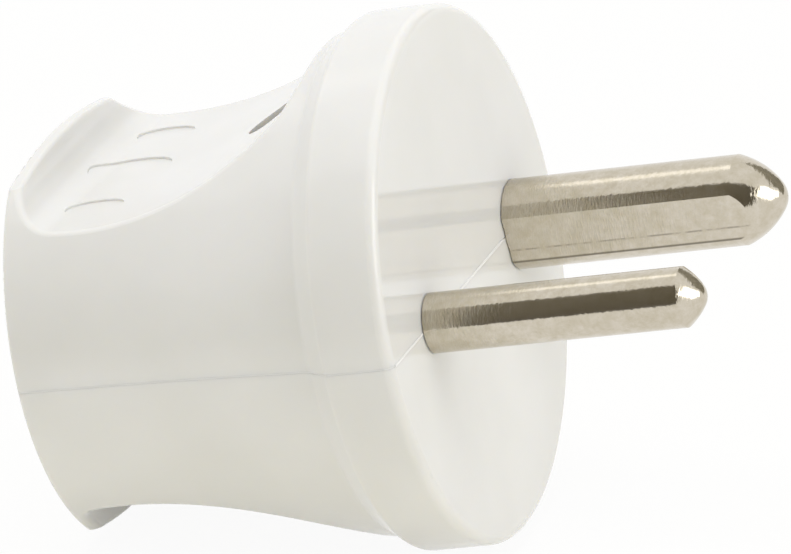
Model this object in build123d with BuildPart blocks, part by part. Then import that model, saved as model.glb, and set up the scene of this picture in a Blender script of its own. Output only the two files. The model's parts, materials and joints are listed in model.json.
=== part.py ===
from build123d import *
import math
import os

# Low voltage plug: two moulded half shells round a thick and a thin round pin.
# Millimetres. The origin is the middle of the mating face, +X runs out along the pins,
# +Z is up and the half shells meet on the XY plane.

# Housing outline
face_diameter = 36.0
flange_thickness = 4.7
flange_slope = 1.4
body_length = 27.4
neck_diameter = 33.9
rear_diameter = 30.5
waist_sag = 0.25
face_round = 0.7
flange_round = 0.5
neck_round = 0.9
rear_round = 0.35

# Housing walls
side_wall = 2.0
front_wall = 3.0
rear_wall = 2.6
seam_gap = 0.06
seam_depth = 0.3
cut_overrun = 1.0

# Finger hollows: a long shallow arc that turns up steeply before the flange
grip_low_point = 22.5
grip_floor = 9.68
grip_radius = 24.0
grip_front_gap = 0.9
grip_front_blend = 4.0
upper_lip_thickness = 1.0
upper_lip_height = 13.0
upper_lip_blend = 2.6
lower_lip_thickness = 1.0
lower_lip_height = 12.9
lower_lip_blend = 0.8
lip_crown = 50.0
rim_round = 0.55
lip_round = 0.25

# Oval grip dimples across each hollow
dimple_position = 22.4
dimple_spacing = 7.3
dimple_depth = 0.16
middle_dimple = (5.8, 5.0)
side_dimple = (4.1, 3.1)

# Pins
pin_spacing = 19.0
thin_pin_diameter = 4.0
thin_pin_reach = 19.0
thin_nose_length = 1.45
thin_nose_angle = 37.0
thick_pin_diameter = 6.1
thick_pin_reach = 19.2
thick_nose_length = 3.05
thick_nose_angle = 20.0
thick_pin_flat = 2.58
thick_flat_tilt = 7.0
thin_nose_cap = 1.29
thick_nose_cap = 1.63
nose_cap_angle = 35
pin_clearance = 0.06
pin_face_gap = 0.08
pin_seat_step = 0.5

# Collars and terminals of the pins, inside the housing
collar_step = 1.2
collar_length = 1.8
collar_play = 0.05
seat_rib = 1.8
terminal_gap = 0.25
wire_room = 1.75
thin_terminal_diameter = 6.4
thick_terminal_diameter = 7.6
terminal_spot_depth = 0.7
wire_hole_diameter = 2.8
wire_hole_wall = 2.8
wire_hole_margin = 0.5

# Screws, with slotted cheese heads
terminal_screw_diameter = 3.0
terminal_screw_inset = 3.2
housing_screw_diameter = 2.3
housing_screw_length = 14.0
housing_screw_position = 11.2
housing_screw_seat = 8.0
clamp_screw_diameter = 2.9
clamp_screw_length = 8.0
screw_clearance = 0.05
screw_tip_room = 1.0
head_ratio = 1.7
head_height_ratio = 0.6
slot_width = 0.8
slot_depth = 0.9

# Screw bosses, cord clamp and cable entry
boss_wall = 1.3
head_clearance = 0.2
clamp_rear_gap = 2.0
clamp_screw_spacing = 15.0
clamp_seat_drop = 0.4
clamp_width = 5.4
clamp_thickness = 2.0
clamp_ridge_height = 0.9
clamp_ridge_width = 1.6
saddle_drop = 5.4
saddle_width = 9.0
entry_diameter = 8.0
entry_flare = 0.6

# Locating pegs between the half shells
peg_diameter = 1.6
peg_height = 1.2
peg_clearance = 0.05
front_peg_spacing = 31.0
rear_peg_spacing = 18.0

# Worked out from the driving dimensions
face_radius = face_diameter / 2
neck_radius = neck_diameter / 2
rear_radius = rear_diameter / 2
neck_x = -(flange_thickness + flange_slope)
rear_x = -body_length
grip_front_x = neck_x - grip_front_gap
thin_pin_y = -pin_spacing / 2
thick_pin_y = pin_spacing / 2
thin_seat_radius = thin_pin_diameter / 2 - pin_seat_step
thick_seat_radius = thick_pin_diameter / 2 - pin_seat_step
rib_front_x = -(front_wall + collar_length + 2 * collar_play)
rib_rear_x = rib_front_x - seat_rib
cavity_rear_x = rear_x + rear_wall
clamp_x = cavity_rear_x + clamp_rear_gap + clamp_width / 2
terminal_front_x = rib_rear_x - terminal_gap
terminal_rear_x = clamp_x + clamp_width / 2 + wire_room
terminal_screw_x = terminal_rear_x + terminal_screw_inset
terminal_screw_tip = wire_hole_diameter / 2 - wire_hole_margin
housing_screw_x = -housing_screw_position
housing_boss_radius = housing_screw_diameter * head_ratio / 2 + head_clearance + boss_wall
clamp_boss_radius = clamp_screw_diameter / 2 + boss_wall
clamp_screw_places = [(clamp_x, side * clamp_screw_spacing / 2) for side in (-1, 1)]
peg_places = [(-front_wall / 2, side * front_peg_spacing / 2) for side in (-1, 1)]
peg_places += [(rear_x + rear_wall / 2, side * rear_peg_spacing / 2) for side in (-1, 1)]


def sag(radius, half_width):
    """Drop of a circular arc from its crest to a point half_width to the side."""
    return radius - math.sqrt(radius**2 - half_width**2)


def grip_height(x):
    """Height of the hollow's floor above the split plane."""
    return grip_floor + sag(grip_radius, x + grip_low_point)


def grip_cutter(start_x, rear_blend, depth):
    """Solid that hollows the upper side from start_x to short of the neck, sunk by depth."""
    top = face_radius + side_wall
    rear_corner = (start_x, grip_height(start_x) - depth)
    front_corner = (grip_front_x, grip_height(grip_front_x) - depth)
    with BuildPart() as cutter:
        with BuildSketch(Plane.XZ) as profile:
            with BuildLine():
                ThreePointArc(rear_corner, (-grip_low_point, grip_floor - depth), front_corner)
                Polyline(front_corner, (grip_front_x, top), (start_x, top), rear_corner)
            make_face()
            for (x, z), radius in ((rear_corner, rear_blend), (front_corner, grip_front_blend)):
                fillet(profile.vertices().sort_by_distance((x, 0, z))[0], radius)
        extrude(amount=face_radius, both=True)
    return cutter.part


def finger_hollow(lip_thickness, lip_height, lip_blend):
    """Cutters of one finger hollow on the upper side: its floor, the lip's edge and the dimples."""
    lip_x = rear_x + lip_thickness
    lip_side_z = lip_height - sag(lip_crown, rear_radius)
    with BuildPart() as lip_edge:
        with BuildSketch(Plane.YZ.offset(rear_x - cut_overrun)):
            with BuildLine():
                ThreePointArc((-rear_radius, lip_side_z), (0, lip_height), (rear_radius, lip_side_z))
                Polyline(
                    (rear_radius, lip_side_z),
                    (rear_radius, face_radius),
                    (-rear_radius, face_radius),
                    (-rear_radius, lip_side_z),
                )
            make_face()
        extrude(amount=cut_overrun + lip_thickness + lip_blend)
    with BuildPart() as dimples:
        with BuildSketch(Plane.XY):
            with Locations((-dimple_position, 0)):
                Ellipse(middle_dimple[0] / 2, middle_dimple[1] / 2)
            with Locations((-dimple_position, -dimple_spacing), (-dimple_position, dimple_spacing)):
                Ellipse(side_dimple[0] / 2, side_dimple[1] / 2)
        extrude(amount=face_radius)
        add(grip_cutter(lip_x, lip_blend, dimple_depth), mode=Mode.INTERSECT)
    return grip_cutter(lip_x, lip_blend, 0), lip_edge.part, dimples.part


# Half outline of the housing, turned round the X axis
with BuildSketch(Plane.XY) as outline:
    with BuildLine():
        Polyline((0, 0), (0, face_radius), (-flange_thickness, face_radius), (neck_x, neck_radius))
        SagittaArc((neck_x, neck_radius), (rear_x, rear_radius), waist_sag)
        Polyline((rear_x, rear_radius), (rear_x, 0), (0, 0))
    make_face()
    corners = (
        ((0, face_radius), face_round),
        ((-flange_thickness, face_radius), flange_round),
        ((neck_x, neck_radius), neck_round),
        ((rear_x, rear_radius), rear_round),
    )
    for corner, radius in corners:
        fillet(outline.vertices().sort_by_distance((*corner, 0))[0], radius)


def hollow_side(body, cutters):
    """The body with one finger hollow cut, its rim and lip rounded."""
    floor, lip_edge, dimples = cutters
    with BuildPart() as hollowed:
        add(body)
        add(floor, mode=Mode.SUBTRACT)
        side_edges = hollowed.faces().filter_by(GeomType.TORUS).sort_by(SortBy.AREA)[-1].edges()
        rim = hollowed.edges(Select.LAST).filter_by(lambda edge: edge in side_edges)
        fillet(rim, rim_round)
        add(lip_edge, mode=Mode.SUBTRACT)
        lip_edges = hollowed.edges(Select.LAST).filter_by(GeomType.CIRCLE)
        fillet(lip_edges.filter_by(lambda edge: round(edge.radius - lip_crown, 2) == 0), lip_round)
        add(dimples, mode=Mode.SUBTRACT)
    return hollowed.part


# Solid housing with a finger hollow above and below
with BuildPart() as blank:
    add(outline.sketch)
    revolve(axis=Axis.X)
upper_cutters = finger_hollow(upper_lip_thickness, upper_lip_height, upper_lip_blend)
lower_cutters = finger_hollow(lower_lip_thickness, lower_lip_height, lower_lip_blend)
upper_done = hollow_side(blank.part, upper_cutters)
both_done = hollow_side(mirror(upper_done, about=Plane.XY), lower_cutters)
housing = mirror(both_done, about=Plane.XY)

# Inside of the housing, one wall thinner than the outside, and the cable entry at its rear
inner_grip = grip_cutter(rear_x + upper_lip_thickness, upper_lip_blend, side_wall)
with BuildPart() as cavity:
    with BuildSketch(Plane.XY):
        front_corner = (-front_wall, neck_radius - side_wall)
        rear_corner = (cavity_rear_x, rear_radius - side_wall)
        Polygon((cavity_rear_x, 0), (-front_wall, 0), front_corner, rear_corner, align=None)
    revolve(axis=Axis.X)
    add(inner_grip, mode=Mode.SUBTRACT)
    add(mirror(inner_grip, about=Plane.XY, mode=Mode.PRIVATE), mode=Mode.SUBTRACT)
    with BuildSketch(Plane.YZ.offset(rib_rear_x)):
        Circle(face_radius)
    extrude(amount=seat_rib, mode=Mode.SUBTRACT)
    with BuildSketch(Plane.XY):
        with Locations((housing_screw_x, 0)):
            Circle(housing_boss_radius)
    extrude(amount=face_radius, both=True, mode=Mode.SUBTRACT)
    with BuildSketch(Plane.XY):
        Polygon(
            (rear_x, 0),
            (rear_x, entry_diameter / 2 + entry_flare),
            (rear_x + entry_flare, entry_diameter / 2),
            (cavity_rear_x, entry_diameter / 2),
            (cavity_rear_x, 0),
            align=None,
        )
    revolve(axis=Axis.X)

# The lower half of the inside also keeps the cord saddle and the bosses of the clamp
with BuildPart() as lower_cavity:
    add(cavity.part)
    with BuildSketch(Plane.XY.offset(-clamp_seat_drop)):
        with Locations(*clamp_screw_places):
            Circle(clamp_boss_radius)
    extrude(amount=-face_radius, mode=Mode.SUBTRACT)
    with BuildSketch(Plane.XY.offset(-saddle_drop)):
        with Locations((clamp_x, 0)):
            Rectangle(clamp_width / 2, saddle_width)
    extrude(amount=-face_radius, mode=Mode.SUBTRACT)


def beyond_flat(distance):
    """Outline of what lies beyond the thick pin's flat, at a distance from the pin's axis."""
    with BuildSketch() as beyond:
        with Locations((thick_pin_y, 0)):
            with PolarLocations(distance, 1, start_angle=180 + thick_flat_tilt):
                Rectangle(thick_pin_diameter, 2 * thick_pin_diameter, align=(Align.MIN, Align.CENTER))
    return beyond.sketch


# Seats of both pins: round in the rib, keyed to the flat in the front wall
with BuildPart() as pin_seats:
    with BuildSketch(Plane.YZ.offset(rib_rear_x)):
        with Locations((thin_pin_y, 0)):
            Circle(thin_seat_radius + pin_clearance)
        with Locations((thick_pin_y, 0)):
            Circle(thick_seat_radius + pin_clearance)
    extrude(amount=seat_rib)
    with BuildSketch(Plane.YZ.offset(-front_wall)):
        with Locations((thin_pin_y, 0)):
            Circle(thin_seat_radius + pin_clearance)
        with Locations((thick_pin_y, 0)):
            Circle(thick_seat_radius + pin_clearance)
        add(beyond_flat(thick_pin_flat + pin_clearance), mode=Mode.SUBTRACT)
    extrude(amount=front_wall)

# Fine groove round the seam: the outline less its inset
with BuildSketch(Plane.XY) as seam_ring:
    add(outline.sketch)
    mirror(about=Plane.XZ)
    offset(amount=-seam_depth, mode=Mode.SUBTRACT)

# Upper half shell, with the counterbore of the housing screw in its finger hollow
with BuildPart() as upper_shell:
    add(housing)
    add(cavity.part, mode=Mode.SUBTRACT)
    add(pin_seats.part, mode=Mode.SUBTRACT)
    split(bisect_by=Plane.XY, keep=Keep.TOP)
    add(seam_ring.sketch)
    extrude(amount=seam_gap / 2, dir=(0, 0, 1), mode=Mode.SUBTRACT)
    with BuildSketch(Plane.XY):
        with Locations((housing_screw_x, 0)):
            Circle(housing_screw_diameter / 2 + screw_clearance)
    extrude(amount=housing_screw_seat, mode=Mode.SUBTRACT)
    with BuildSketch(Plane.XY.offset(housing_screw_seat)):
        with Locations((housing_screw_x, 0)):
            Circle(housing_screw_diameter * head_ratio / 2 + head_clearance)
    extrude(amount=face_radius, mode=Mode.SUBTRACT)
    with BuildSketch(Plane.XY):
        with Locations(*peg_places):
            Circle(peg_diameter / 2 + peg_clearance)
    extrude(amount=peg_height + 2 * peg_clearance, mode=Mode.SUBTRACT)

# Lower half shell, with the blind boss of the housing screw, the clamp bosses and the pegs
with BuildPart() as lower_shell:
    add(housing)
    add(lower_cavity.part, mode=Mode.SUBTRACT)
    add(pin_seats.part, mode=Mode.SUBTRACT)
    split(bisect_by=Plane.XY, keep=Keep.BOTTOM)
    add(seam_ring.sketch)
    extrude(amount=seam_gap / 2, dir=(0, 0, -1), mode=Mode.SUBTRACT)
    with BuildSketch(Plane.XY):
        with Locations((housing_screw_x, 0)):
            Circle(housing_screw_diameter / 2 + screw_clearance)
    extrude(amount=housing_screw_seat - housing_screw_length - screw_tip_room, mode=Mode.SUBTRACT)
    with BuildSketch(Plane.XY.offset(-clamp_seat_drop)):
        with Locations(*clamp_screw_places):
            Circle(clamp_screw_diameter / 2 + screw_clearance)
    extrude(amount=clamp_thickness - clamp_screw_length - screw_tip_room / 2, mode=Mode.SUBTRACT)
    with BuildSketch(Plane.XY):
        with Locations(*peg_places):
            Circle(peg_diameter / 2)
    extrude(amount=peg_height)


def contact_pin(diameter, reach, nose_length, nose_angle, nose_cap, terminal_diameter):
    """Turned pin on the X axis: nose, shank, stepped seat with its collar, terminal with a wire hole."""
    radius = diameter / 2
    seat_radius = radius - pin_seat_step
    terminal_radius = terminal_diameter / 2
    collar_front_x = -(front_wall + collar_play)
    collar_rear_x = collar_front_x - collar_length
    slope = math.radians(nose_angle)
    with BuildPart() as pin:
        with BuildSketch(Plane.XY):
            with BuildLine():
                Polyline(
                    (reach, 0),
                    (terminal_rear_x, 0),
                    (terminal_rear_x, terminal_radius),
                    (terminal_front_x, terminal_radius),
                    (terminal_front_x, seat_radius),
                    (collar_rear_x, seat_radius),
                    (collar_rear_x, radius + collar_step),
                    (collar_front_x, radius + collar_step),
                    (collar_front_x, seat_radius),
                    (pin_face_gap, seat_radius),
                    (pin_face_gap, radius),
                    (reach - nose_length, radius),
                )
                cap = CenterArc((reach - nose_cap, 0), nose_cap, 0, nose_cap_angle)
                TangentArc(
                    (reach - nose_length, radius), cap @ 1, tangent=(math.cos(slope), -math.sin(slope))
                )
            make_face()
        revolve(axis=Axis.X)
        with BuildSketch(Plane.YZ.offset(terminal_rear_x)):
            Circle(wire_hole_diameter / 2)
        extrude(amount=terminal_front_x - terminal_rear_x - wire_hole_wall, mode=Mode.SUBTRACT)
        with BuildSketch(Plane.XY.offset(-terminal_screw_tip - screw_clearance)):
            with Locations((terminal_screw_x, 0)):
                Circle(terminal_screw_diameter / 2 + screw_clearance)
        extrude(amount=2 * terminal_radius, mode=Mode.SUBTRACT)
        with BuildSketch(Plane.XY.offset(terminal_radius - terminal_spot_depth)):
            with Locations((terminal_screw_x, 0)):
                Circle(terminal_screw_diameter * head_ratio / 2 + head_clearance)
        extrude(amount=terminal_spot_depth, mode=Mode.SUBTRACT)
    return pin.part


def slotted_screw(seat, diameter, length):
    """Cheese-head screw with its head on the seat plane and its shank behind it."""
    head_height = diameter * head_height_ratio
    with BuildPart() as screw:
        with BuildSketch(seat):
            Circle(diameter * head_ratio / 2)
        extrude(amount=head_height)
        with BuildSketch(seat):
            Circle(diameter / 2)
        extrude(amount=-length)
        with BuildSketch(seat.offset(head_height - slot_depth)):
            Rectangle(slot_width, diameter * head_ratio + cut_overrun)
        extrude(amount=slot_depth, mode=Mode.SUBTRACT)
    return screw.part


thin_blank = contact_pin(
    thin_pin_diameter,
    thin_pin_reach,
    thin_nose_length,
    thin_nose_angle,
    thin_nose_cap,
    thin_terminal_diameter,
)
with BuildPart() as thin_pin:
    with Locations((0, thin_pin_y, 0)):
        add(thin_blank)

# The thick pin has one flat along its length that keys it in the front wall
thick_blank = contact_pin(
    thick_pin_diameter,
    thick_pin_reach,
    thick_nose_length,
    thick_nose_angle,
    thick_nose_cap,
    thick_terminal_diameter,
)
with BuildPart() as thick_pin:
    with Locations((0, thick_pin_y, 0)):
        add(thick_blank)
    with BuildSketch(Plane.YZ.offset(-front_wall)):
        add(beyond_flat(thick_pin_flat))
    extrude(amount=front_wall + thick_pin_reach, mode=Mode.SUBTRACT)

with BuildPart() as terminal_screws:
    for pin_y, terminal_diameter in (
        (thin_pin_y, thin_terminal_diameter),
        (thick_pin_y, thick_terminal_diameter),
    ):
        seat_z = terminal_diameter / 2 - terminal_spot_depth
        seat = Plane((terminal_screw_x, pin_y, seat_z))
        add(slotted_screw(seat, terminal_screw_diameter, seat_z + terminal_screw_tip))

with BuildPart() as housing_screw:
    seat = Plane((housing_screw_x, 0, housing_screw_seat))
    add(slotted_screw(seat, housing_screw_diameter, housing_screw_length))

# Cord clamp: a bar with rounded ends and a ridge that presses on the cord
with BuildPart() as cord_clamp:
    with BuildSketch(Plane.XY.offset(-clamp_seat_drop)):
        with Locations((clamp_x, 0)):
            SlotCenterToCenter(clamp_screw_spacing, clamp_width, rotation=90)
        with Locations(*clamp_screw_places):
            Circle(clamp_screw_diameter / 2 + screw_clearance, mode=Mode.SUBTRACT)
    extrude(amount=clamp_thickness)
    with BuildSketch(Plane.XZ):
        with Locations((clamp_x, -clamp_seat_drop)):
            Rectangle(clamp_ridge_width, 2 * clamp_ridge_height)
    extrude(amount=saddle_width / 2, both=True)

with BuildPart() as cord_clamp_screws:
    for x, y in clamp_screw_places:
        seat = Plane((x, y, clamp_thickness - clamp_seat_drop))
        add(slotted_screw(seat, clamp_screw_diameter, clamp_screw_length))

pieces = {
    "upper_shell": upper_shell,
    "lower_shell": lower_shell,
    "thin_pin": thin_pin,
    "thick_pin": thick_pin,
    "terminal_screws": terminal_screws,
    "housing_screw": housing_screw,
    "cord_clamp": cord_clamp,
    "cord_clamp_screws": cord_clamp_screws,
}
os.makedirs("parts", exist_ok=True)
for name, piece in pieces.items():
    piece.part.label = name
    export_step(piece.part, f"parts/{name}.step")
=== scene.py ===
import json
import math

import bpy
from mathutils import Matrix, Quaternion, Vector


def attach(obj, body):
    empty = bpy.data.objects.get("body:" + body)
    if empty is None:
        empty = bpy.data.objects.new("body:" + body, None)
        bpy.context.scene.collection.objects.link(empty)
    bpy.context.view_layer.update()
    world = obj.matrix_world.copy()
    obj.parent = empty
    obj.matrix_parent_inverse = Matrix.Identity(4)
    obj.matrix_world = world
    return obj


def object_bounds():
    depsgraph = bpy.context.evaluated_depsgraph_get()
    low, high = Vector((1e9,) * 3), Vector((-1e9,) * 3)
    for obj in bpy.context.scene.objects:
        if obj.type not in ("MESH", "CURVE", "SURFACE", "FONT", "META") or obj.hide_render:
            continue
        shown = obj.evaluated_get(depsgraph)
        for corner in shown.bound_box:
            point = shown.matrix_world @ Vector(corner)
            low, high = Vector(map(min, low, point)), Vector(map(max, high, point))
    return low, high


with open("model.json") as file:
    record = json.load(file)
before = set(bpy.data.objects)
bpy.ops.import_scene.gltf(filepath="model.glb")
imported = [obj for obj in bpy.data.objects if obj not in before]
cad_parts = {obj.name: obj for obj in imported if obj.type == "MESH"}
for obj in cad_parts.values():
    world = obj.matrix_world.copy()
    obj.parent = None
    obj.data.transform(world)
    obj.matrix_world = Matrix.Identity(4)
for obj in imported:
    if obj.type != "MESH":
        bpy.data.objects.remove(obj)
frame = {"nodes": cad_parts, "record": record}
cad_low, cad_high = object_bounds()

# Low voltage plug: white moulded half shells with nickel-plated pins. Metres, in the frame of the
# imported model: the origin is the middle of the mating face, +X runs out along the pins, +Z is up.
MM = 0.001
WHITE = (1.0, 1.0, 1.0, 1.0)

# Lower edge of the thick pin's flat, and a drawing scratch on the flat: y and z of lines along X
flat_edge = (7.136 * MM, -1.928 * MM)
flat_scratch = (7.028 * MM, -1.036 * MM)

# The stretch of what the pins' shanks mirror fades out between these distances from the face
stretch_fades = 15.8 * MM
stretch_ends = 16.4 * MM


def linear(hex_colour):
    """sRGB hex value as a linear RGBA colour."""
    channels = [int(hex_colour[i : i + 2], 16) / 255 for i in (1, 3, 5)]
    return tuple(c / 12.92 if c <= 0.04045 else ((c + 0.055) / 1.055) ** 2.4 for c in channels) + (1.0,)


def add_node(tree, kind, inputs=None, **settings):
    """New node with its settings; an input is a value, or the output socket that feeds it."""
    node = tree.nodes.new(kind)
    for name, value in settings.items():
        setattr(node, name, value)
    for name, value in (inputs or {}).items():
        if isinstance(value, bpy.types.NodeSocket):
            tree.links.new(value, node.inputs[name])
        else:
            node.inputs[name].default_value = value
    return node


def new_material(name):
    """New node material and its Principled shader."""
    material = bpy.data.materials.new(name)
    material.use_nodes = True
    return material, material.node_tree.nodes["Principled BSDF"]


def moulded_white_plastic():
    """Injection-moulded white thermoplastic: glossy skin, faint flow clouds, a fine grain from the mould.

    The mating face is glossier than the sides.
    """
    cloud_size = 9 * MM
    grain_size = 0.35 * MM
    grain_height = 0.05 * MM
    side_end = -0.7 * MM
    face_start = -0.1 * MM
    side_roughness = 0.2
    face_roughness = 0.06
    scatter_depth = 0.4 * MM
    material, shader = new_material("moulded_white_plastic")
    tree = material.node_tree
    place = add_node(tree, "ShaderNodeTexCoord").outputs["Object"]
    cloud = add_node(tree, "ShaderNodeTexNoise", {"Vector": place, "Scale": 1 / cloud_size, "Detail": 2.0})
    tint = add_node(tree, "ShaderNodeValToRGB", {"Fac": cloud.outputs["Fac"]})
    tint.color_ramp.elements[0].position = 0.3
    tint.color_ramp.elements[0].color = linear("#E8E7E3")
    tint.color_ramp.elements[1].position = 0.7
    tint.color_ramp.elements[1].color = linear("#EDECE9")
    grain = add_node(tree, "ShaderNodeTexNoise", {"Vector": place, "Scale": 1 / grain_size, "Detail": 3.0})
    bump = add_node(
        tree,
        "ShaderNodeBump",
        {"Height": grain.outputs["Fac"], "Strength": 0.05, "Distance": grain_height},
    )
    along = add_node(tree, "ShaderNodeSeparateXYZ", {"Vector": place})
    gloss = add_node(
        tree,
        "ShaderNodeMapRange",
        {
            "Value": along.outputs["X"],
            "From Min": side_end,
            "From Max": face_start,
            "To Min": side_roughness,
            "To Max": face_roughness,
        },
    )
    tree.links.new(tint.outputs["Color"], shader.inputs["Base Color"])
    tree.links.new(gloss.outputs["Result"], shader.inputs["Roughness"])
    tree.links.new(bump.outputs["Normal"], shader.inputs["Normal"])
    shader.inputs["IOR"].default_value = 1.5
    shader.inputs["Subsurface Weight"].default_value = 0.5
    shader.inputs["Subsurface Radius"].default_value = (1.0, 0.9, 0.7)
    shader.inputs["Subsurface Scale"].default_value = scatter_depth
    return material


def along_line(tree, place, y, z, core, fade):
    """Mask of a thin line along X at y, z: 1 within core of it, down to 0 at fade."""
    across = add_node(tree, "ShaderNodeVectorMath", {0: place, 1: (0, 1, 1)}, operation="MULTIPLY")
    away = add_node(
        tree,
        "ShaderNodeVectorMath",
        {0: across.outputs[0], 1: (0, y, z)},
        operation="DISTANCE",
    )
    mask = add_node(
        tree,
        "ShaderNodeMapRange",
        {"Value": away.outputs["Value"], "From Min": core, "From Max": fade, "To Min": 1.0, "To Max": 0.0},
    )
    return mask.outputs["Result"]


def nickel_plated_brass():
    """Turned brass under nickel: a warm grey mirror, fine grain, darker along the flat's lower edge and
    along a scratch.

    There are faint rings from the lathe tool. What the shanks mirror is stretched along X, and the noses
    mirror crisply.
    """
    ring_pitch = 0.16 * MM
    ring_height = 0.02 * MM
    ring_stretch = (1.0, 0.33, 0.33)
    grain_size = 0.08 * MM
    stain_size = 0.9 * MM
    stretch_roughness = 0.05
    line_darkening = 0.75
    material, shader = new_material("nickel_plated_brass")
    tree = material.node_tree
    place = add_node(tree, "ShaderNodeTexCoord").outputs["Object"]
    stretched = add_node(tree, "ShaderNodeMapping", {"Vector": place, "Scale": ring_stretch})
    rings = add_node(
        tree,
        "ShaderNodeTexNoise",
        {"Vector": stretched.outputs["Vector"], "Scale": 1 / ring_pitch, "Detail": 2.0},
    )
    bump = add_node(
        tree,
        "ShaderNodeBump",
        {"Height": rings.outputs["Fac"], "Strength": 0.8, "Distance": ring_height},
    )
    grain = add_node(tree, "ShaderNodeTexNoise", {"Vector": place, "Scale": 1 / grain_size, "Detail": 2.0})
    stain = add_node(
        tree,
        "ShaderNodeTexNoise",
        {"Vector": place, "Scale": 1 / stain_size, "Detail": 6.0, "Roughness": 0.75},
    )
    tint = add_node(tree, "ShaderNodeValToRGB", {"Fac": stain.outputs["Fac"]})
    tint.color_ramp.elements[0].position = 0.35
    tint.color_ramp.elements[0].color = linear("#C3BAA6")
    tint.color_ramp.elements[1].position = 0.65
    tint.color_ramp.elements[1].color = linear("#D3CBBC")
    # Darker lines along the flat's lower edge and along a scratch, the scratch broken up by noise
    edge = along_line(tree, place, *flat_edge, core=0.05 * MM, fade=0.14 * MM)
    scratch = along_line(tree, place, *flat_scratch, core=0.02 * MM, fade=0.1 * MM)
    worn = add_node(
        tree,
        "ShaderNodeMapRange",
        {"Value": stain.outputs["Fac"], "From Min": 0.4, "From Max": 0.56, "To Max": 0.7},
    )
    broken = add_node(tree, "ShaderNodeMath", {0: scratch, 1: worn.outputs["Result"]}, operation="MULTIPLY")
    lines = add_node(tree, "ShaderNodeMath", {0: edge, 1: broken.outputs[0]}, operation="MAXIMUM")
    darker_lines = add_node(tree, "ShaderNodeMath", {0: lines.outputs[0], 1: line_darkening}, operation="MULTIPLY")
    colour = add_node(
        tree,
        "ShaderNodeMix",
        {"Factor": darker_lines.outputs[0], "A": tint.outputs["Color"], "B": linear("#5B5344")},
        data_type="RGBA",
    )
    along = add_node(tree, "ShaderNodeSeparateXYZ", {"Vector": place})
    shank = add_node(
        tree,
        "ShaderNodeMapRange",
        {
            "Value": along.outputs["X"],
            "From Min": stretch_fades,
            "From Max": stretch_ends,
            "To Min": 1.0,
            "To Max": 0.0,
        },
    )
    polish = add_node(
        tree,
        "ShaderNodeMapRange",
        {"Value": grain.outputs["Fac"], "To Min": 0.08, "To Max": 0.18},
    )
    gloss = add_node(
        tree,
        "ShaderNodeMath",
        {0: shank.outputs["Result"], 1: stretch_roughness, 2: polish.outputs["Result"]},
        operation="MULTIPLY_ADD",
    )
    axis = add_node(tree, "ShaderNodeCombineXYZ", {"X": 1.0})
    tree.links.new(axis.outputs["Vector"], shader.inputs["Tangent"])
    tree.links.new(shank.outputs["Result"], shader.inputs["Anisotropic"])
    tree.links.new(colour.outputs["Result"], shader.inputs["Base Color"])
    tree.links.new(gloss.outputs[0], shader.inputs["Roughness"])
    tree.links.new(bump.outputs["Normal"], shader.inputs["Normal"])
    shader.inputs["Metallic"].default_value = 1.0
    return material


def zinc_plated_steel():
    """Cold-formed steel screws with bright zinc: cool grey, slightly mottled."""
    mottle_size = 0.6 * MM
    material, shader = new_material("zinc_plated_steel")
    tree = material.node_tree
    place = add_node(tree, "ShaderNodeTexCoord").outputs["Object"]
    mottle = add_node(tree, "ShaderNodeTexNoise", {"Vector": place, "Scale": 1 / mottle_size, "Detail": 4.0})
    tint = add_node(tree, "ShaderNodeValToRGB", {"Fac": mottle.outputs["Fac"]})
    tint.color_ramp.elements[0].color = linear("#A9ACAE")
    tint.color_ramp.elements[1].color = linear("#C9CBCC")
    gloss = add_node(
        tree,
        "ShaderNodeMapRange",
        {"Value": mottle.outputs["Fac"], "To Min": 0.25, "To Max": 0.4},
    )
    tree.links.new(tint.outputs["Color"], shader.inputs["Base Color"])
    tree.links.new(gloss.outputs["Result"], shader.inputs["Roughness"])
    shader.inputs["Metallic"].default_value = 1.0
    return material


def matt_clamp_plastic():
    """Moulded polyamide of the inner clamp: off-white, dull, fine spark-eroded grain."""
    grain_size = 0.3 * MM
    grain_height = 0.05 * MM
    material, shader = new_material("matt_polyamide")
    tree = material.node_tree
    place = add_node(tree, "ShaderNodeTexCoord").outputs["Object"]
    grain = add_node(tree, "ShaderNodeTexNoise", {"Vector": place, "Scale": 1 / grain_size, "Detail": 4.0})
    tint = add_node(tree, "ShaderNodeValToRGB", {"Fac": grain.outputs["Fac"]})
    tint.color_ramp.elements[0].color = linear("#DCDBD4")
    tint.color_ramp.elements[1].color = linear("#E4E3DD")
    bump = add_node(
        tree,
        "ShaderNodeBump",
        {"Height": grain.outputs["Fac"], "Strength": 0.2, "Distance": grain_height},
    )
    tree.links.new(tint.outputs["Color"], shader.inputs["Base Color"])
    tree.links.new(bump.outputs["Normal"], shader.inputs["Normal"])
    shader.inputs["Roughness"].default_value = 0.55
    return material


finishes = {
    "shell_plastic": moulded_white_plastic(),
    "pin_plating": nickel_plated_brass(),
    "screw_steel": zinc_plated_steel(),
    "clamp_plastic": matt_clamp_plastic(),
}
for subpart in frame["record"]["subparts"]:
    node = frame["nodes"][subpart["node"]]
    for slot in node.material_slots:
        slot.material = finishes[subpart["material_slot"]]


def painted_highlight_plastic():
    """The shell's thermoplastic, dull and painted chalk white as the bright highlight line along the split
    line.
    """
    material, shader = new_material("painted_highlight_plastic")
    shader.inputs["Base Color"].default_value = linear("#FBFAF8")
    shader.inputs["Roughness"].default_value = 0.45
    return material


highlight_white = painted_highlight_plastic()


def joined(runs, name):
    """Runs of flash painted chalk white as a highlight, joined to one named piece."""
    for run in runs:
        run.select_set(True)
    bpy.ops.object.join()
    flash = bpy.context.object
    flash.name = name
    flash.data.materials.append(highlight_white)
    return flash


# Flash along the split line of the mating face, painted chalk white as the bright highlight line along the
# seam
flash_width = 0.14 * MM
flash_height = 0.04 * MM
flash_round = 0.015 * MM
flash_inset = 0.58 * MM


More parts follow.
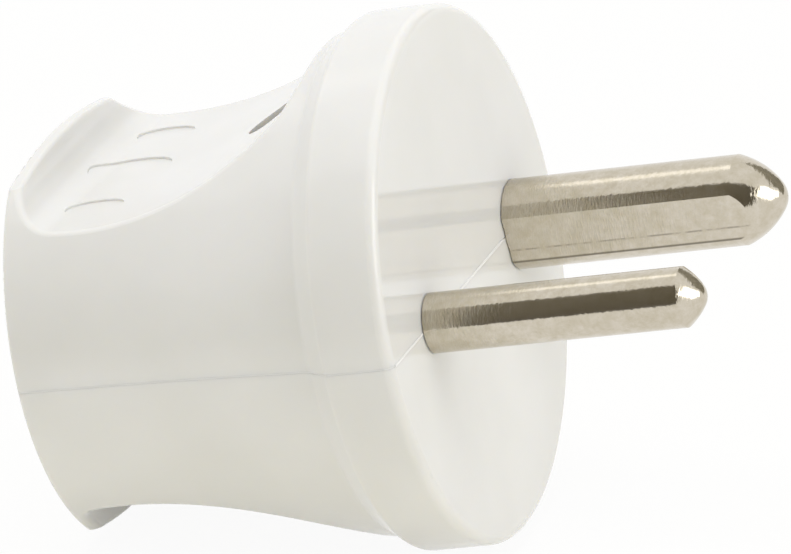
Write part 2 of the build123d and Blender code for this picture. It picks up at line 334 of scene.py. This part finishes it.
def seam_flash_highlight():
    """One bead from edge to edge of the face along the split plane, left open at the two pins."""
    pins = [mount for mount in frame["record"]["mounts"] if mount["kind"] == "pin"]
    edge = cad_high.z - flash_inset
    stops = [-edge]
    for pin in sorted(pins, key=lambda mount: mount["pos_m"][1]):
        stops += [pin["pos_m"][1] + side * pin["dims"]["r_mm"] * MM for side in (-1, 1)]
    stops.append(edge)
    runs = []
    for start, end in zip(stops[::2], stops[1::2]):
        bpy.ops.mesh.primitive_cube_add(size=1, location=(flash_height / 2, (start + end) / 2, 0))
        run = bpy.context.object
        run.scale = (flash_height, end - start, flash_width)
        bpy.ops.object.transform_apply(location=True, rotation=False, scale=True)
        runs.append(run)
    flash = joined(runs, "seam_flash_highlight")
    bevel = flash.modifiers.new("trimmed_edges", "BEVEL")
    bevel.width = flash_round
    bevel.segments = 2
    bpy.ops.object.modifier_apply(modifier=bevel.name)
    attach(flash, "root")


# Web of flash that all but fills the split line's groove along the sides, painted chalk white as the light
# line along the seam
web_width = 0.1 * MM
web_depth = 0.025 * MM
web_thickness = 0.1 * MM
web_steps = 160
web_inset = 0.02 * MM


def side_flash_highlight():
    """One thin web along each side, drawn onto the shells' skin and then sunk a little into the groove."""
    start = cad_low.x + web_inset
    end = -web_inset
    webs = []
    for side in (-1, 1):
        bpy.ops.mesh.primitive_grid_add(
            x_subdivisions=web_steps,
            y_subdivisions=1,
            size=1,
            location=((start + end) / 2, 2 * side * cad_high.y, 0),
            rotation=(-side * math.pi / 2, 0, 0),
        )
        web = bpy.context.object
        web.scale = (end - start, web_width, 1)
        bpy.ops.object.transform_apply(location=True, rotation=True, scale=True)
        skin = web.modifiers.new("onto_the_skin", "SHRINKWRAP")
        skin.wrap_method = "PROJECT"
        skin.use_project_y = True
        skin.use_positive_direction = side < 0
        skin.use_negative_direction = side > 0
        skin.target = frame["nodes"]["upper_shell"]
        skin.auxiliary_target = frame["nodes"]["lower_shell"]
        bpy.ops.object.modifier_apply(modifier=skin.name)
        web.location.y = -side * web_depth
        bpy.ops.object.transform_apply(location=True, rotation=False, scale=False)
        solid = web.modifiers.new("thickness", "SOLIDIFY")
        solid.thickness = web_thickness
        solid.offset = -1
        bpy.ops.object.modifier_apply(modifier=solid.name)
        webs.append(web)
    flash = joined(webs, "side_flash_highlight")
    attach(flash, "root")


seam_flash_highlight()
side_flash_highlight()


def seen_or_mirrored(tree):
    """Mask of the rays from the camera and of those that mirror or pass through something."""
    path = add_node(tree, "ShaderNodeLightPath")
    seen = add_node(
        tree,
        "ShaderNodeMath",
        {0: path.outputs["Is Camera Ray"], 1: path.outputs["Is Glossy Ray"]},
    )
    mask = add_node(
        tree,
        "ShaderNodeMath",
        {0: seen.outputs[0], 1: path.outputs["Is Transmission Ray"]},
        use_clamp=True,
    )
    return mask.outputs[0]


# Floor: a white table that touches the flange's rim and the lower rear lip, so it leans in this frame
rim_foot_x = -4.5 * MM
lower_lip_height = 12.9 * MM
flange_foot = Vector((rim_foot_x, 0, cad_low.z))
lip_foot = Vector((cad_low.x, 0, -lower_lip_height))
floor_lean = math.atan2(lip_foot.z - flange_foot.z, flange_foot.x - lip_foot.x)
floor_size = 4.0

# Share of plain white in what the camera sees of the table; the rest is the lit surface with its shadow
floor_whiteness = 0.94


def white_floor():
    """White table: all but pure white to the eye, with a faint shadow; clear from below."""
    material, shader = new_material("white_table")
    tree = material.node_tree
    shader.inputs["Base Color"].default_value = linear("#F4F2E7")
    shader.inputs["Roughness"].default_value = 0.9
    white = add_node(tree, "ShaderNodeEmission", {"Color": WHITE, "Strength": 1.0})
    share = add_node(
        tree,
        "ShaderNodeMath",
        {0: seen_or_mirrored(tree), 1: floor_whiteness},
        operation="MULTIPLY",
    )
    top = add_node(
        tree,
        "ShaderNodeMixShader",
        {0: share.outputs[0], 1: shader.outputs["BSDF"], 2: white.outputs["Emission"]},
    )
    clear = add_node(tree, "ShaderNodeBsdfTransparent")
    side = add_node(tree, "ShaderNodeNewGeometry")
    both = add_node(
        tree,
        "ShaderNodeMixShader",
        {0: side.outputs["Backfacing"], 1: top.outputs["Shader"], 2: clear.outputs["BSDF"]},
    )
    tree.links.new(both.outputs["Shader"], tree.nodes["Material Output"].inputs["Surface"])
    return material


bpy.ops.object.select_all(action="DESELECT")
bpy.ops.mesh.primitive_plane_add(size=floor_size, location=flange_foot, rotation=(0, floor_lean, 0))
floor = bpy.context.object
floor.name = "white_table"
floor.data.materials.append(white_floor())
floor.visible_glossy = False

# World: even white studio, white to the eye and dimmer as a light
room_light = 0.61
world = bpy.data.worlds.new("white_studio")
bpy.context.scene.world = world
world.use_nodes = True
sky = world.node_tree
room = add_node(sky, "ShaderNodeBackground", {"Color": WHITE, "Strength": room_light})
backdrop = add_node(sky, "ShaderNodeBackground", {"Color": WHITE, "Strength": 1.0})
mixed = add_node(
    sky,
    "ShaderNodeMixShader",
    {0: seen_or_mirrored(sky), 1: room.outputs[0], 2: backdrop.outputs[0]},
)
sky.links.new(mixed.outputs[0], sky.nodes["World Output"].inputs["Surface"])


def stand(piece, way, distance):
    """Put a board or lamp that way from the plug, facing it, its width along X, unseen by the camera."""
    out = way.normalized()
    along = (Vector((1, 0, 0)) - out * out.x).normalized()
    piece.rotation_euler = Matrix((along, out.cross(along), out)).transposed().to_euler()
    piece.location = out * distance
    piece.visible_camera = False


def matt_board(name, colour, way, distance, width, height):
    """Board with a matt coat that shows only in reflections."""
    material, shader = new_material("matt_" + name)
    shader.inputs["Base Color"].default_value = linear(colour)
    shader.inputs["Roughness"].default_value = 1.0
    shader.inputs["Specular IOR Level"].default_value = 0.0
    bpy.ops.mesh.primitive_plane_add(size=1.0)
    board = bpy.context.object
    board.name = name
    board.scale = (width, height, 1)
    bpy.ops.object.transform_apply(location=False, rotation=False, scale=True)
    board.data.materials.append(material)
    stand(board, way, distance)
    board.visible_diffuse = False
    board.visible_shadow = False


def softbox(name, way, distance, width, height, radiance):
    """Rectangular lamp of even brightness."""
    data = bpy.data.lights.new(name, "AREA")
    data.shape = "RECTANGLE"
    data.size = width
    data.size_y = height
    data.energy = radiance * math.pi * width * height
    lamp = bpy.data.objects.new(name, data)
    bpy.context.collection.objects.link(lamp)
    stand(lamp, way, distance)
    return lamp


# Boards for reflections: a dark one on the thin pin's side, a grey one ahead on the thick pin's side
matt_board("dark_board", "#7B766C", Vector((0, -0.866, 0.5)), distance=0.6, width=2.0, height=0.9)
matt_board("grey_board", "#A8A59C", Vector((0.62, 0.70, 0.30)), distance=0.7, width=0.7, height=0.5)

# Lamps: light from above that nothing mirrors, a softbox ahead, and a tube that lights no matt surface
overhead = softbox(
    "overhead_softbox", Vector((0.08, 0.03, 0.99)), distance=0.7, width=0.5, height=0.5, radiance=3.0
)
overhead.visible_glossy = False
softbox("front_softbox", Vector((0.95, -0.12, 0.22)), distance=0.5, width=0.28, height=0.28, radiance=2.2)
tube = softbox(
    "ceiling_tube", Vector((-0.354, 0.37, 0.859)), distance=0.7, width=0.5, height=0.15, radiance=0.65
)
tube.visible_diffuse = False

# Camera at the photograph's place: a long lens, rolled so that the table is level
camera_place = Vector((207.345, -534.914, 175.683)) * MM
camera_aim = Vector((-4.903, -1.644, 0.829)) * MM
camera_roll = math.radians(-12.64)
camera_data = bpy.data.cameras.new("camera")
camera_data.sensor_width = 36.0
camera_data.lens = 413.36
camera = bpy.data.objects.new("camera", camera_data)
bpy.context.collection.objects.link(camera)
camera.location = camera_place
camera.rotation_mode = "QUATERNION"
look = (camera_aim - camera_place).to_track_quat("-Z", "Y")
camera.rotation_quaternion = look @ Quaternion((0, 0, 1), camera_roll)
bpy.context.scene.camera = camera
bpy.context.scene.view_settings.view_transform = "Standard"
